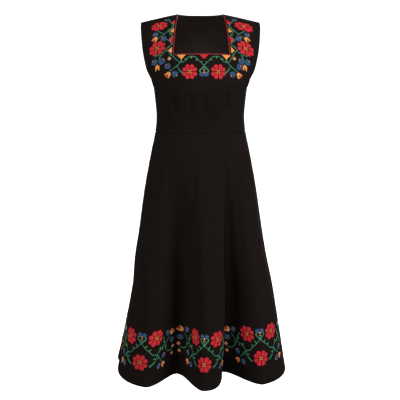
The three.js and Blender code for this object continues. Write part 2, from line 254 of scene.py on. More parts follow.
bodiceCreases = [  # path points are (degrees round the body, height)
    {"path": [(-14.5, -0.236), (-13.5, -0.275), (-12, -0.310)], "width": 0.008, "depth": 0.0028},
    {"path": [(2.5, -0.228), (2.5, -0.268), (3.5, -0.315)], "width": 0.0075, "depth": 0.0046},
    {"path": [(33, -0.228), (32, -0.268), (30, -0.305)], "width": 0.0075, "depth": 0.0044},
    {"path": [(-35, -0.228), (-34, -0.280), (-32, -0.330)], "width": 0.0085, "depth": 0.0046},
    {"path": [(17, -0.250), (17, -0.285), (16, -0.330)], "width": 0.012, "depth": -0.0014},
    {"path": [(-60, -0.236), (-57, -0.262), (-54, -0.300)], "width": 0.007, "depth": 0.0024},
    {"path": [(72, -0.330), (62, -0.342), (52, -0.350)], "width": 0.005, "depth": 0.0016},
    {"path": [(78, -0.346), (70, -0.355), (61, -0.360)], "width": 0.004, "depth": 0.0012},
    {"path": [(-74, -0.334), (-66, -0.345), (-58, -0.350)], "width": 0.005, "depth": 0.0014},
    {"path": [(68, -0.240), (63, -0.264), (59, -0.296)], "width": 0.007, "depth": 0.0022},
    {"path": [(84, -0.300), (74, -0.306), (62, -0.318)], "width": 0.006, "depth": 0.0014},
    {"path": [(-86, -0.296), (-75, -0.303), (-64, -0.316)], "width": 0.006, "depth": 0.0013},
    {"path": [(150, -0.236), (151, -0.275), (153, -0.318)], "width": 0.010, "depth": 0.0024},
    {"path": [(206, -0.232), (205, -0.272), (203, -0.312)], "width": 0.010, "depth": 0.0026},
    {"path": [(178, -0.290), (179, -0.320), (179, -0.350)], "width": 0.012, "depth": 0.0018},
    {"path": [(112, -0.330), (124, -0.342), (138, -0.348)], "width": 0.006, "depth": 0.0018},
    {"path": [(246, -0.332), (236, -0.343), (222, -0.350)], "width": 0.006, "depth": 0.0016},
    {"path": [(100, -0.252), (110, -0.272), (120, -0.300)], "width": 0.008, "depth": 0.0018},
    {"path": [(260, -0.250), (250, -0.270), (240, -0.298)], "width": 0.008, "depth": 0.0018},
]
yokeCreases = {  # path points are (x, z)
    "front": [
        {"path": [(-0.150, -0.200), (-0.128, -0.212), (-0.104, -0.222)], "width": 0.006, "depth": 0.0016},
        {"path": [(0.150, -0.202), (0.130, -0.213), (0.108, -0.224)], "width": 0.006, "depth": 0.0015},
        {"path": [(-0.168, -0.150), (-0.150, -0.172), (-0.137, -0.198)], "width": 0.008, "depth": 0.0020},
        {"path": [(0.168, -0.150), (0.151, -0.174), (0.139, -0.198)], "width": 0.008, "depth": 0.0018},
    ],
    "back": [
        {"path": [(-0.150, -0.060), (-0.120, -0.085), (-0.095, -0.125)], "width": 0.012, "depth": 0.0020},
        {"path": [(0.148, -0.062), (0.119, -0.090), (0.093, -0.130)], "width": 0.012, "depth": 0.0018},
        {"path": [(-0.030, -0.060), (0.000, -0.066), (0.032, -0.061)], "width": 0.010, "depth": 0.0012},
        {"path": [(-0.145, -0.190), (-0.110, -0.196), (-0.070, -0.206)], "width": 0.009, "depth": 0.0016},
        {"path": [(0.146, -0.188), (0.112, -0.195), (0.074, -0.204)], "width": 0.009, "depth": 0.0016},
    ],
}
skirtCreases = [  # path points are (gores round from the right front seam, height)
    {"path": [(0.02, -0.47), (0.02, -0.80), (0.01, -1.15)], "width": 0.034, "depth": 0.0160},
    {"path": [(0.15, -0.55), (0.17, -0.85), (0.16, -1.15)], "width": 0.046, "depth": 0.0130},
    {"path": [(1.01, -0.47), (1.01, -0.80), (1.00, -1.15)], "width": 0.030, "depth": 0.0160},
    {"path": [(0.30, -0.42), (0.28, -0.66), (0.25, -0.96)], "width": 0.016, "depth": 0.0040},
    {"path": [(0.62, -0.44), (0.64, -0.70), (0.66, -1.02)], "width": 0.014, "depth": -0.0026},
    {"path": [(0.80, -0.40), (0.82, -0.60), (0.84, -0.82)], "width": 0.012, "depth": 0.0024},
    {"path": [(1.22, -0.41), (1.24, -0.62), (1.28, -0.92)], "width": 0.016, "depth": 0.0034},
    {"path": [(1.55, -0.40), (1.52, -0.66), (1.50, -0.98)], "width": 0.020, "depth": 0.0040},
    {"path": [(1.80, -0.52), (1.78, -0.80), (1.77, -1.10)], "width": 0.020, "depth": 0.0040},
    {"path": [(2.35, -0.42), (2.33, -0.68), (2.30, -1.00)], "width": 0.018, "depth": 0.0044},
    {"path": [(2.72, -0.46), (2.74, -0.76), (2.76, -1.06)], "width": 0.018, "depth": 0.0036},
    {"path": [(3.30, -0.42), (3.32, -0.70), (3.30, -1.02)], "width": 0.018, "depth": 0.0044},
    {"path": [(3.68, -0.46), (3.66, -0.72), (3.69, -1.00)], "width": 0.018, "depth": 0.0036},
    {"path": [(4.30, -0.44), (4.32, -0.72), (4.33, -1.04)], "width": 0.018, "depth": 0.0040},
    {"path": [(4.70, -0.42), (4.68, -0.66), (4.70, -0.94)], "width": 0.018, "depth": 0.0040},
    {"path": [(5.22, -0.48), (5.24, -0.76), (5.22, -1.08)], "width": 0.020, "depth": 0.0040},
    {"path": [(5.52, -0.41), (5.55, -0.66), (5.58, -0.98)], "width": 0.018, "depth": 0.0040},
    {"path": [(5.80, -0.40), (5.78, -0.58), (5.76, -0.80)], "width": 0.012, "depth": 0.0026},
]


def lineDip(u, v, line):
    path = np.array(line["path"], float)
    steps = np.hypot(np.diff(path[:, 0]), np.diff(path[:, 1]))
    marks = np.concatenate([[0], np.cumsum(steps)]) / steps.sum()
    nearest = np.full(np.shape(u), 1e9)
    along = np.zeros(np.shape(u))
    for i in range(len(path) - 1):
        du, dv = path[i + 1] - path[i]
        share = np.clip(((u - path[i, 0]) * du + (v - path[i, 1]) * dv) / (du * du + dv * dv), 0, 1)
        away = np.hypot(u - path[i, 0] - du * share, v - path[i, 1] - dv * share)
        closer = away < nearest
        nearest = np.where(closer, away, nearest)
        along = np.where(closer, mix(marks[i], marks[i + 1], share), along)
    fade = smoothStep(along / 0.3) * smoothStep((1 - along) / 0.35)
    return -line["depth"] * np.exp(-((nearest / line["width"]) ** 2)) * (0.08 + 0.92 * fade)


degreeWidth = 0.0023  # one degree round the body, in metres


def bodiceOffset(degrees, row, point):
    turned = np.mod(degrees + 90, 360) - 90
    z = point[..., 2]
    total = np.zeros(turned.shape)
    for crease in bodiceCreases:
        path = [(angle * degreeWidth, height) for angle, height in crease["path"]]
        total += lineDip(turned * degreeWidth, z, {**crease, "path": path})
    isFront = np.cos(np.radians(turned)) > 0
    for side, creases in yokeCreases.items():
        for crease in creases:
            total += np.where(isFront == (side == "front"), lineDip(point[..., 0], z, crease), 0)
    quiet = smoothStep((z - levels["waist"]) / 0.018)  # no crease on the waist seam
    return total * quiet


goreWidths = (0.13, 0.32)  # a gore's width at the waist and at the hem, roughly


def skirtOffset(around, row):
    around = np.mod(around, 6)
    z = mix(levels["waist"], levels["hem"], row)
    wide = mix(*goreWidths, np.clip(row, 0, 1))
    total = np.zeros(np.shape(around))
    for crease in skirtCreases:
        path = np.array(crease["path"])[::-1]
        middle = np.interp(z, path[:, 1], path[:, 0])
        run = np.clip((z - path[0, 1]) / (path[-1, 1] - path[0, 1]), 0, 1)
        fade = smoothStep(run / 0.35) * smoothStep((1 - run) / 0.25)
        width = crease["width"] * mix(0.7, 1.5, np.clip(row, 0, 1))
        away = (np.mod(around - middle + 3, 6) - 3) * wide
        total += -crease["depth"] * fade * np.exp(-((away / width) ** 2))
    return total


def bodiceSurface(degrees, row):  # point and normal, creases in
    point = bodicePoint(degrees, row)
    normal = surfaceNormal(bodicePoint, degrees, row, 0.4, 0.006, 1)
    return point + normal * bodiceOffset(degrees, row, point)[..., None], normal


def skirtSurface(around, row):
    point = skirtPoint(around, row)
    normal = surfaceNormal(skirtPoint, around, row, 0.004, 0.003, -1)
    return point + normal * skirtOffset(around, row)[..., None], normal


# Cloth sheets

clothSettings = {
    "thickness": 0.0011,
    "seamHalfGap": 0.00004,
    "seamDrop": 0.0015,  # how far the cloth turns in at a seam
    "seamWidth": 0.0027,
    "pucker": 0.00022,
    "puckerPitch": 0.009,
    "hemDepth": 0.031,  # turned up and stitched inside
    "hemRise": 0.0005,
    "hemStitch": 0.0004,
    "facingDepth": 0.009,
    "facingRise": 0.0003,
    "roundDrop": 0.0006,  # how a finished edge rolls over
    "roundWidth": 0.0010,
}


def runLength(points, axis):
    steps = np.linalg.norm(np.diff(points, axis=axis), axis=-1)
    pad = [(0, 0), (0, 0)]
    pad[axis] = (1, 0)
    return np.pad(np.cumsum(steps, axis=axis), pad)


def edgeShares(count, close):
    near = np.array(close)
    inner = np.linspace(near[-1], 1 - near[-1], count - 2 * len(near) + 2)[1:-1]
    return np.concatenate([near, inner, 1 - near[::-1]])


def makeSheet(name, points, normals, cells, edges, seed):
    settings = clothSettings
    rng = np.random.default_rng(seed)
    fromLeft, fromBottom = runLength(points, 1), runLength(points, 0)
    away = {
        "left": fromLeft,
        "right": fromLeft[:, -1:] - fromLeft,
        "bottom": fromBottom,
        "top": fromBottom[-1:, :] - fromBottom,
    }
    along = {"left": fromBottom, "right": fromBottom, "bottom": fromLeft, "top": fromLeft}
    offset = np.zeros(points.shape[:2])
    for edge, kind in edges.items():
        distance, run = away[edge], along[edge]
        if kind == "seam":
            offset -= settings["seamDrop"] * np.exp(-((distance / settings["seamWidth"]) ** 2))
            waves = np.sin(run / settings["puckerPitch"] * 2 * math.pi + rng.uniform(0, 6))
            waves += 0.6 * np.sin(run / settings["puckerPitch"] * 4.1 + rng.uniform(0, 6))
            beside = np.exp(-(((distance - 0.004) / 0.004) ** 2))
            offset += settings["pucker"] * waves * beside
        if kind == "hem":
            stitchLine = settings["hemDepth"] + 0.0005
            offset += settings["hemRise"] * smoothStep((settings["hemDepth"] - distance) / 0.003)
            offset -= settings["hemStitch"] * np.exp(-(((distance - stitchLine) / 0.0016) ** 2))
        if kind == "edge":  # faced and pressed
            offset += settings["facingRise"] * smoothStep((settings["facingDepth"] - distance) / 0.002)
        if kind != "seam":
            offset -= settings["roundDrop"] * np.exp(-((distance / settings["roundWidth"]) ** 2))
    outer = points + normals * offset[..., None]
    inner = points - normals * (settings["thickness"] - np.minimum(offset, 0))[..., None]
    rows, columns = offset.shape
    index = np.arange(rows * columns).reshape(rows, columns)
    a, b = index[:-1, :-1][cells], index[:-1, 1:][cells]
    c, d = index[1:, 1:][cells], index[1:, :-1][cells]
    total = rows * columns
    faces = [np.stack([a, b, c, d], 1), np.stack([d, c, b, a], 1) + total]
    padded = np.pad(cells, 1)
    here = padded[1:-1, 1:-1]
    rims = (
        (padded[:-2, 1:-1], index[:-1, :-1], index[:-1, 1:]),
        (padded[2:, 1:-1], index[1:, 1:], index[1:, :-1]),
        (padded[1:-1, :-2], index[1:, :-1], index[:-1, :-1]),
        (padded[1:-1, 2:], index[:-1, 1:], index[1:, 1:]),
    )
    for neighbour, first, second in rims:
        open_ = here & ~neighbour
        p, q = first[open_], second[open_]
        faces.append(np.stack([q, p, p + total, q + total], 1))
    faces = np.concatenate(faces)
    vertices = np.concatenate([outer.reshape(-1, 3), inner.reshape(-1, 3)])
    used = np.unique(faces)
    renumber = np.full(len(vertices), -1)
    renumber[used] = np.arange(len(used))
    uvs = np.stack([fromLeft - fromLeft[:, -1:] / 2, fromBottom], -1).reshape(-1, 2)
    uvs = np.concatenate([uvs, uvs])
    return makeMesh(name, vertices[used], renumber[faces], uvs[used])


def makeMesh(name, vertices, faces, uvs, tones=None, materialIndex=None):
    mesh = bpy.data.meshes.new(name)
    sides = faces.shape[1]
    mesh.vertices.add(len(vertices))
    mesh.vertices.foreach_set("co", np.asarray(vertices, np.float32).ravel())
    mesh.loops.add(faces.size)
    mesh.loops.foreach_set("vertex_index", faces.astype(np.int32).ravel())
    mesh.polygons.add(len(faces))
    mesh.polygons.foreach_set("loop_start", np.arange(0, faces.size, sides, dtype=np.int32))
    mesh.polygons.foreach_set("loop_total", np.full(len(faces), sides, np.int32))
    mesh.polygons.foreach_set("use_smooth", np.ones(len(faces), bool))
    if materialIndex is not None:
        mesh.polygons.foreach_set("material_index", materialIndex.astype(np.int32))
    layer = mesh.uv_layers.new(name="UVMap")
    layer.data.foreach_set("uv", np.asarray(uvs, np.float32)[faces.ravel()].ravel())
    if tones is not None:
        attribute = mesh.attributes.new("tone", "FLOAT", "POINT")
        attribute.data.foreach_set("value", np.asarray(tones, np.float32))
    mesh.update(calc_edges=True)
    mesh.validate()
    piece = bpy.data.objects.new(name, mesh)
    scene.collection.objects.link(piece)
    return piece


def joinFrame(piece, slotName, *nodes):
    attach(piece, "root")
    if nodes:
        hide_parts(*nodes)


# Materials

clothLook = {
    "dark": (0.0050, 0.0037, 0.0032),
    "light": (0.0088, 0.0064, 0.0056),
    "roughness": 0.82,
    "specular": 0.025,
    "specularTint": (1, 0.85, 0.78, 1),
    "sheen": 0.012,
    "sheenTint": (0.80, 0.66, 0.58, 1),
    "twill": 640,  # one line a millimetre
    "fibre": 2600,
    "cloud": 26,
    "bump": 0.35,
    "bumpDistance": 0.0002,
}


def link(tree, fromNode, fromName, toNode, toName):
    tree.links.new(fromNode.outputs[fromName], toNode.inputs[toName])


def setInputs(node, inputs):
    for name, value in inputs.items():
        node.inputs[name].default_value = value


def addNode(tree, kind, inputs=None, **options):
    node = tree.nodes.new("ShaderNode" + kind)
    for name, value in options.items():
        setattr(node, name, value)
    setInputs(node, inputs or {})
    return node


def newMaterial(name):
    material = bpy.data.materials.new(name)
    material.use_nodes = True
    return material, material.node_tree, material.node_tree.nodes["Principled BSDF"]


def addRoughness(tree, source, middle, below, above, shader):
    rough = addNode(tree, "MapRange", {"To Min": middle - below, "To Max": middle + above})
    link(tree, source, "Fac", rough, "Value")
    link(tree, rough, "Result", shader, "Roughness")


def addBump(tree, look, source, output, shader):
    bump = addNode(tree, "Bump", {"Strength": look["bump"], "Distance": look["bumpDistance"]})
    link(tree, source, output, bump, "Height")
    link(tree, bump, "Normal", shader, "Normal")


def makeClothMaterial(look):
    material, tree, shader = newMaterial("black_twill")
    setInputs(shader, {"Specular IOR Level": look["specular"], "Specular Tint": look["specularTint"]})
    setInputs(shader, {"Sheen Weight": look["sheen"], "Sheen Tint": look["sheenTint"]})
    setInputs(shader, {"Sheen Roughness": 0.45})
    place = addNode(tree, "UVMap", uv_map="UVMap")
    twillInputs = {"Scale": look["twill"], "Distortion": 0.4, "Detail": 1}
    twill = addNode(tree, "TexWave", twillInputs, bands_direction="DIAGONAL")
    yarn = addNode(tree, "TexWave", {"Scale": look["twill"]}, bands_direction="X")
    fibre = addNode(tree, "TexNoise", {"Scale": look["fibre"], "Detail": 3})
    cloud = addNode(tree, "TexNoise", {"Scale": look["cloud"], "Detail": 4})
    for node in (twill, yarn, fibre, cloud):
        link(tree, place, "UV", node, "Vector")
    weave = addNode(tree, "Mix", {"Factor": 0.3}, data_type="FLOAT")
    blend = addNode(tree, "Mix", {"Factor": 0.35}, data_type="FLOAT")
    shade = addNode(tree, "Mix", {"Factor": 0.45}, data_type="FLOAT")
    link(tree, twill, "Fac", weave, 2)
    link(tree, yarn, "Fac", weave, 3)
    link(tree, weave, 0, blend, 2)
    link(tree, fibre, "Fac", blend, 3)
    link(tree, blend, 0, shade, 2)
    link(tree, cloud, "Fac", shade, 3)
    colour = addNode(tree, "ValToRGB")
    for stop, position, tint in zip(colour.color_ramp.elements, (0.3, 0.7), ("dark", "light")):
        stop.position = position
        stop.color = (*look[tint], 1)
    link(tree, shade, 0, colour, "Fac")
    link(tree, colour, "Color", shader, "Base Color")
    addRoughness(tree, cloud, look["roughness"], 0.08, 0.08, shader)
    addBump(tree, look, blend, 0, shader)
    return material


threadColours = {  # linear colour of each thread
    "r": (0.600, 0.013, 0.026),
    "R": (0.400, 0.006, 0.014),
    "o": (0.940, 0.340, 0.085),
    "O": (0.560, 0.060, 0.012),
    "y": (0.900, 0.380, 0.090),
    "g": (0.040, 0.255, 0.135),
    "G": (0.200, 0.420, 0.160),
    "b": (0.030, 0.090, 0.200),
    "e": (0.520, 0.300, 0.320),
}
threadOrder = list(threadColours)
threadLook = {
    "roughness": 0.50,
    "specular": 0.20,
    "sheen": 0.06,
    "ply": 520,
    "fibre": 1800,
    "bump": 0.4,
    "bumpDistance": 0.0002,
}


def makeThreadMaterial(name, colour, look):
    material, tree, shader = newMaterial(name)
    setInputs(shader, {"Specular IOR Level": look["specular"]})
    setInputs(shader, {"Sheen Weight": look["sheen"], "Sheen Roughness": 0.35})
    place = addNode(tree, "UVMap", uv_map="UVMap")
    plyInputs = {"Scale": look["ply"], "Distortion": 0.5}
    ply = addNode(tree, "TexWave", plyInputs, bands_direction="DIAGONAL")
    fibre = addNode(tree, "TexNoise", {"Scale": look["fibre"]})
    tone = addNode(tree, "Attribute", attribute_name="tone")
    link(tree, place, "UV", ply, "Vector")
    link(tree, place, "UV", fibre, "Vector")
    shade = addNode(tree, "Mix", {"Factor": 0.35}, data_type="FLOAT")
    link(tree, tone, "Fac", shade, 2)
    link(tree, ply, "Fac", shade, 3)
    ramp = addNode(tree, "ValToRGB")
    for stop, strength in zip(ramp.color_ramp.elements, (0.72, 1.2)):
        stop.color = (*[min(1, c * strength) for c in colour], 1)
    link(tree, shade, 0, ramp, "Fac")
    link(tree, ramp, "Color", shader, "Base Color")
    addRoughness(tree, fibre, look["roughness"], 0.07, 0.09, shader)
    addBump(tree, look, ply, "Fac", shader)
    return material


cloth = makeClothMaterial(clothLook)
threads = []
for i, key in enumerate(threadOrder):
    threads.append(makeThreadMaterial("thread_" + str(i), threadColours[key], threadLook))
print("materials made")

# Bodice

edgeClose = [0, 0.0012, 0.0032, 0.0065, 0.0120, 0.0200]
firstRow, lastRow = 0.0012, 1.9985  # just off the waist seam and the shoulder seam
allSeams = {"bottom": "seam", "left": "seam", "right": "seam", "top": "seam"}
bodiceGrid = {"side": 24, "neck": 60, "low": 56, "beside": 62}
seamTurn = 0.002  # degrees from a seam's line to the cloth's edge


def neckAngle(row):
    at = np.maximum(row - 1, neckCut["bottom"])
    up = np.clip((at - neckCut["bottom"]) / (1 - neckCut["bottom"]), 0, 1)
    half = mix(neckCut["halfBottom"], neckCut["halfTop"], up)
    return np.degrees(np.arcsin(half / curveThrough(yokeCurves["frontEdge"], "at", "x", at)))


def frontEdgeAngle(row):
    low = curveThrough(princessSeam, "row", "angle", np.minimum(row, 1))
    up = (row - 1) / princessSeam["end"]
    high = np.where(up <= 1.01, mix(63, 86.5, np.clip(up, 0, 1)), 90)
    return np.where(row <= 1, low, high)


def backRow(row, degrees):  # the back neck is cut a little lower
    share = np.minimum(1, np.abs(degrees) / neckAngle(2.0))
    return np.where(row <= 1, row, 1 + (row - 1) * mix(neckCut["backTop"], 1, share**2))


def bodiceColumns(outerAngle, innerAngle, side, neck):
    sideShares = edgeShares(side, [0, 0.006, 0.016, 0.034, 0.064])
    neckShares = edgeShares(neck, [0, 0.0016, 0.0042, 0.009, 0.016])
    left = -outerAngle + (outerAngle - innerAngle) * sideShares
    middle = -innerAngle + 2 * innerAngle * neckShares[1:-1]
    right = innerAngle + (outerAngle - innerAngle) * sideShares
    return np.concatenate([left, middle, right], 1)


def yokeRows(neckRow, low, beside):
    lowShares = edgeShares(low, [0, 0.0012, 0.0032, 0.0065, 0.012])
    highShares = edgeShares(beside, [0, 0.0014, 0.0038, 0.008, 0.015])
    lower = firstRow + (neckRow - firstRow) * lowShares
    upper = neckRow + (lastRow - neckRow) * highShares
    return np.concatenate([lower, upper[1:]])


def makeBodiceFront():
    grid = bodiceGrid
    neckRow = 1 + neckCut["bottom"]
    nearSeamEnd = 1 + princessSeam["end"] * np.array([0.985, 1.0, 1.012, 1.03])
    rows = yokeRows(neckRow, grid["low"], grid["beside"])
    rows = np.unique(np.concatenate([rows, nearSeamEnd]))
    neckStart = int(np.searchsorted(rows, neckRow - 1e-9))
    outer = frontEdgeAngle(rows) - seamTurn
    columns = bodiceColumns(outer[:, None], neckAngle(rows)[:, None], grid["side"], grid["neck"])
    points, normals = bodiceSurface(columns, rows[:, None] + 0 * columns)
    cells = np.ones((len(rows) - 1, columns.shape[1] - 1), bool)
    cells[neckStart:, grid["side"] - 1 : -grid["side"] + 1] = False
    return makeSheet("bodiceFront", points, normals, cells, allSeams, 3)


# Sewn from the waist up
backDarts = {"angle": 34, "tip": -0.236, "depth": 0.0010, "width": 0.55, "pull": 0.0012}


def dartOffset(columns, z):
    up = np.clip((z - levels["waist"]) / (backDarts["tip"] - levels["waist"]), 0, 1.6)
    away = np.abs(columns) - backDarts["angle"]
    line = backDarts["depth"] * np.exp(-((away / backDarts["width"]) ** 2))
    line *= smoothStep((1 - up) / 0.12)
    tip = backDarts["pull"] * np.exp(-((away / 5) ** 2) - ((up - 0.95) / 0.22) ** 2)
    return tip - line


def makeBodiceBack():
    grid = bodiceGrid
    rows = yokeRows(1.96, grid["low"] + grid["beside"] - 12, 8)
    rows = np.concatenate([rows[rows < 1.99], [lastRow]])
    shares = edgeShares(2 * grid["side"] + grid["neck"] - 10, edgeClose)
    angles = (90 - seamTurn) * (2 * shares - 1)
    steps = np.array([-1.4, -0.8, -0.4, 0, 0.4, 0.8, 1.4])
    for middle in (-backDarts["angle"], backDarts["angle"]):
        angles = np.concatenate([angles[np.abs(angles - middle) > 2], middle + steps])
    columns = np.sort(angles)[None, :] + 0 * rows[:, None]
    bent = backRow(rows[:, None], columns)
    points, normals = bodiceSurface(180 + columns, bent)
    points += normals * dartOffset(columns, points[..., 2])[..., None]
    cells = np.ones((len(rows) - 1, columns.shape[1] - 1), bool)
    return makeSheet("bodiceBack", points, normals, cells, {**allSeams, "top": "edge"}, 5)


def makeBodiceSide(side):
    rowShares = edgeShares(60, [0, 0.002, 0.005, 0.011, 0.02])
    rows = mix(firstRow, 1 + princessSeam["end"] - 0.004, rowShares)
    seam = frontEdgeAngle(rows)[:, None] + seamTurn
    shares = edgeShares(22, [0, 0.008, 0.02, 0.045, 0.085])
    columns = seam + (90 - seamTurn - seam) * shares[None, :]
    if side < 0:
        columns = -columns[:, ::-1]
    points, normals = bodiceSurface(columns, rows[:, None] + 0 * columns)
    cells = np.ones((len(rows) - 1, columns.shape[1] - 1), bool)
    name = "bodiceSideLeft" if side > 0 else "bodiceSideRight"
    return makeSheet(name, points, normals, cells, {**allSeams, "top": "edge"}, 7)


bodicePieces = {
    "bodice_front": makeBodiceFront(),
    "bodice_back": makeBodiceBack(),
    "bodice_side_front_left": makeBodiceSide(1),
    "bodice_side_front_right": makeBodiceSide(-1),
}
print("bodice made")

# Skirt

skirtGrid = {"columns": 92, "rows": 118}


def makeGore(gore):
    shares = edgeShares(skirtGrid["columns"], edgeClose)
    rows = mix(0.0002, 1.0, edgeShares(skirtGrid["rows"], [0, 0.0006, 0.0016, 0.0035, 0.007]))
    rows = rows[::-1]  # from the hem up
    widths = mix(0.14, 0.32, rows)[:, None]
    inset = clothSettings["seamHalfGap"] / widths
    columns = gore + inset + (1 - 2 * inset) * shares[None, :]
    points, normals = skirtSurface(columns, rows[:, None] + 0 * columns)
    cells = np.ones((len(rows) - 1, columns.shape[1] - 1), bool)
    name = "skirtGore" + str(gore)
    return makeSheet(name, points, normals, cells, {**allSeams, "bottom": "hem"}, 11 + gore)


skirtPieces = {gores["name"][gore]: makeGore(gore) for gore in range(6)}
print("skirt made")

# Embroidery charts. Each letter is one cross stitch

# A petal's first and last column in each row, from its tip to the flower's middle
flowerPetal = [(2, 4), (1, 5), (1, 5), (1, 5), (1, 4), (1, 3), (1, 2), (1, 1)]
flowerReach = 9

carnationChart = [
    "...bb...bb...",
    ".bbbbb.bbbbb.",
    "bbbbbb.bbbbbb",
    "bbbbbb.bbbbbb",
    ".bbbb.o.bbbb.",
    ".gbb.oyo.bbg.",
    "gg....o....gg",
    "g...........g",
    "gg...o.o...gg",
    ".gg...g...gg.",
    "..gg..g..gg..",
    "...gg.g.gg...",
    "....ggggg....",
    ".....g.g.....",
    "......g......",
]
tulipChart = [  # base at the top right
    "...1111.",
    ".1111111",
    "11111111",
    "11..1111",
    "..22.111",
    ".332.11.",
    "..3.111.",
    "....11..",
]
smallTulipChart = [
    "..1111.",
    ".111111",
    "1111111",
    "1..2111",
    ".32.111",
    ".33.11.",
    "...11..",
]
budChart = [  # base at the bottom
    "1....1",
    "11..11",
    "112211",
    "112211",
    "111111",
    "111111",
    ".1111.",
    "..11..",
]
diamondChart = ["..1..", ".121.", "12321", ".121.", "..1.."]


def paint(cells, column, row, colour):
    cells[(math.floor(column + 0.5), math.floor(row + 0.5))] = colour


def drawLine(cells, path, colour):
    for (x0, y0), (x1, y1) in zip(path[:-1], path[1:]):
        count = int(max(abs(round(x1) - round(x0)), abs(round(y1) - round(y0)), 1))
        for i in range(count + 1):
            spot = (int(round(mix(x0, x1, i / count))), int(round(mix(y0, y1, i / count))))
            cells.setdefault(spot, colour)


def drawChart(cells, chart, column, row, palette, flipX=False, flipY=False):
    rows = chart[::-1] if flipY else chart
    for j, line in enumerate(rows):
        text = line[::-1] if flipX else line
        for i, letter in enumerate(text):
            if letter != ".":
                x = column + i - (len(line) - 1) / 2
                y = row + j - (len(chart) - 1) / 2
                paint(cells, x, y, palette.get(letter, letter))


def drawFlower(cells, column, row, wide=0):  # wide adds columns to each petal
    def petalCell(dx, dy, colour):
        first = dx + (wide if dx > 3 else 0)
        last = dx + (wide if dx >= 3 else 0)
        for across in range(first, last + 1):
            for sx in (-1, 1):
                for sy in (-1, 1):
                    paint(cells, column + sx * across, row + sy * dy, colour)

    for j, (first, last) in enumerate(flowerPetal):
        dy = flowerReach - j
        for dx in range(first, last + 1):
            colour = "R" if dy <= 3 else "r"
            petalCell(dx, dy, colour)
            if dx != dy:
                petalCell(dy, dx, colour)
    for dx in range(-2, 3):
        for dy in range(-2, 3):
            if abs(dx) == abs(dy):
                paint(cells, column + dx, row + dy, "y")


bluePalette = {"1": "b", "2": "b", "3": "e"}
orangePalette = {"1": "o", "2": "O", "3": "r"}
diamondPalette = {"1": "o", "2": "e", "3": "r"}


# Short ticks on the vines, each from its foot to its tip
hemLightTicks = [((6, 17), (8, 15)), ((11, 22), (13, 20)), ((28, 24), (28, 21)), ((33, 22), (34, 25))]
hemTicks = [((21, 34), (18, 33)), ((27, 32), (25, 35)), ((41, 24), (43, 22)), ((37, 16), (34, 15))]


def hemChart():  # columns from the unit's middle, rows downwards
    cells = {}
    for side in (-1, 1):
        flip = side > 0

        def path(*points):
            return [(side * x, y) for x, y in points]

        drawFlower(cells, side * 20, 7, 1)
        drawLine(cells, path((0, 12), (17, 28), (23, 29), (31, 22), (38, 21), (47, 12)), "g")
        drawLine(cells, path((38, 21), (36, 12), (32, 8)), "g")
        drawLine(cells, path((38, 21), (44, 28), (48, 31), (54, 31)), "g")
        drawLine(cells, path((23, 29), (33, 39)), "g")
        drawLine(cells, path((23, 30), (21, 36), (14, 41)), "g")
        drawLine(cells, path((20, 38), (14, 42)), "g")
        for first, last in hemLightTicks:
            drawLine(cells, path(first, last), "G")
        for first, last in hemTicks:
            drawLine(cells, path(first, last), "g")
        drawChart(cells, smallTulipChart, side * 52, 7, orangePalette, flipX=flip, flipY=True)
        drawChart(cells, smallTulipChart, side * 43, 6, bluePalette, flipX=not flip, flipY=True)
        drawChart(cells, smallTulipChart, side * 53, 18, bluePalette, flipX=flip)
        drawChart(cells, diamondChart, side * 56, 27, diamondPalette)
        drawChart(cells, diamondChart, side * 56, 36, diamondPalette)
        drawChart(cells, smallTulipChart, side * 38, 33, bluePalette, flipX=flip, flipY=True)
        drawChart(cells, smallTulipChart, side * 39, 45, orangePalette, flipX=flip)
        drawChart(cells, smallTulipChart, side * 29, 45, bluePalette, flipX=not flip)
    drawFlower(cells, 0, 37, 1)
    drawChart(cells, carnationChart, 0, 6, {})
    return cells


hemUnits = [  # gore, shift of the middle, height of the vine's crossing, tilt
    {"gore": 0, "shift": -0.0055, "height": 0.1523, "tilt": 0.03},
    {"gore": 1, "shift": -0.0268, "height": 0.1542, "tilt": 0.13},
    {"gore": 5, "shift": 0.0111, "height": 0.1440, "tilt": 0.05, "stretch": 0.17},
    {"gore": 2, "shift": -0.0120, "height": 0.1520, "tilt": 0.0},
    {"gore": 3, "shift": -0.0040, "height": 0.1520, "tilt": 0.0},
    {"gore": 4, "shift": 0.0080, "height": 0.1500, "tilt": 0.0},
]
hemPitch = {"across": 0.0023, "up": 0.0026, "crossingRow": 12, "stretched": 22, "leanReach": 0.06}


def hemPlaces():
    heights = np.arange(0.018, 0.236, 0.0013)
    around = np.linspace(0, 6, 1441)
    rows = np.linspace(0.68, 1, 241)
    grid = skirtPoint(around[None, :], rows[:, None])
    up = runLength(grid, 0)
    up = up[-1] - up
    lineRows = [np.interp(heights, up[::-1, i], rows[::-1]) for i in range(len(around))]
    lineRows = np.stack(lineRows, 1)
    lines = skirtPoint(around[None, :] + 0 * lineRows, lineRows)
    return heights, around, lineRows, runLength(lines, 1)


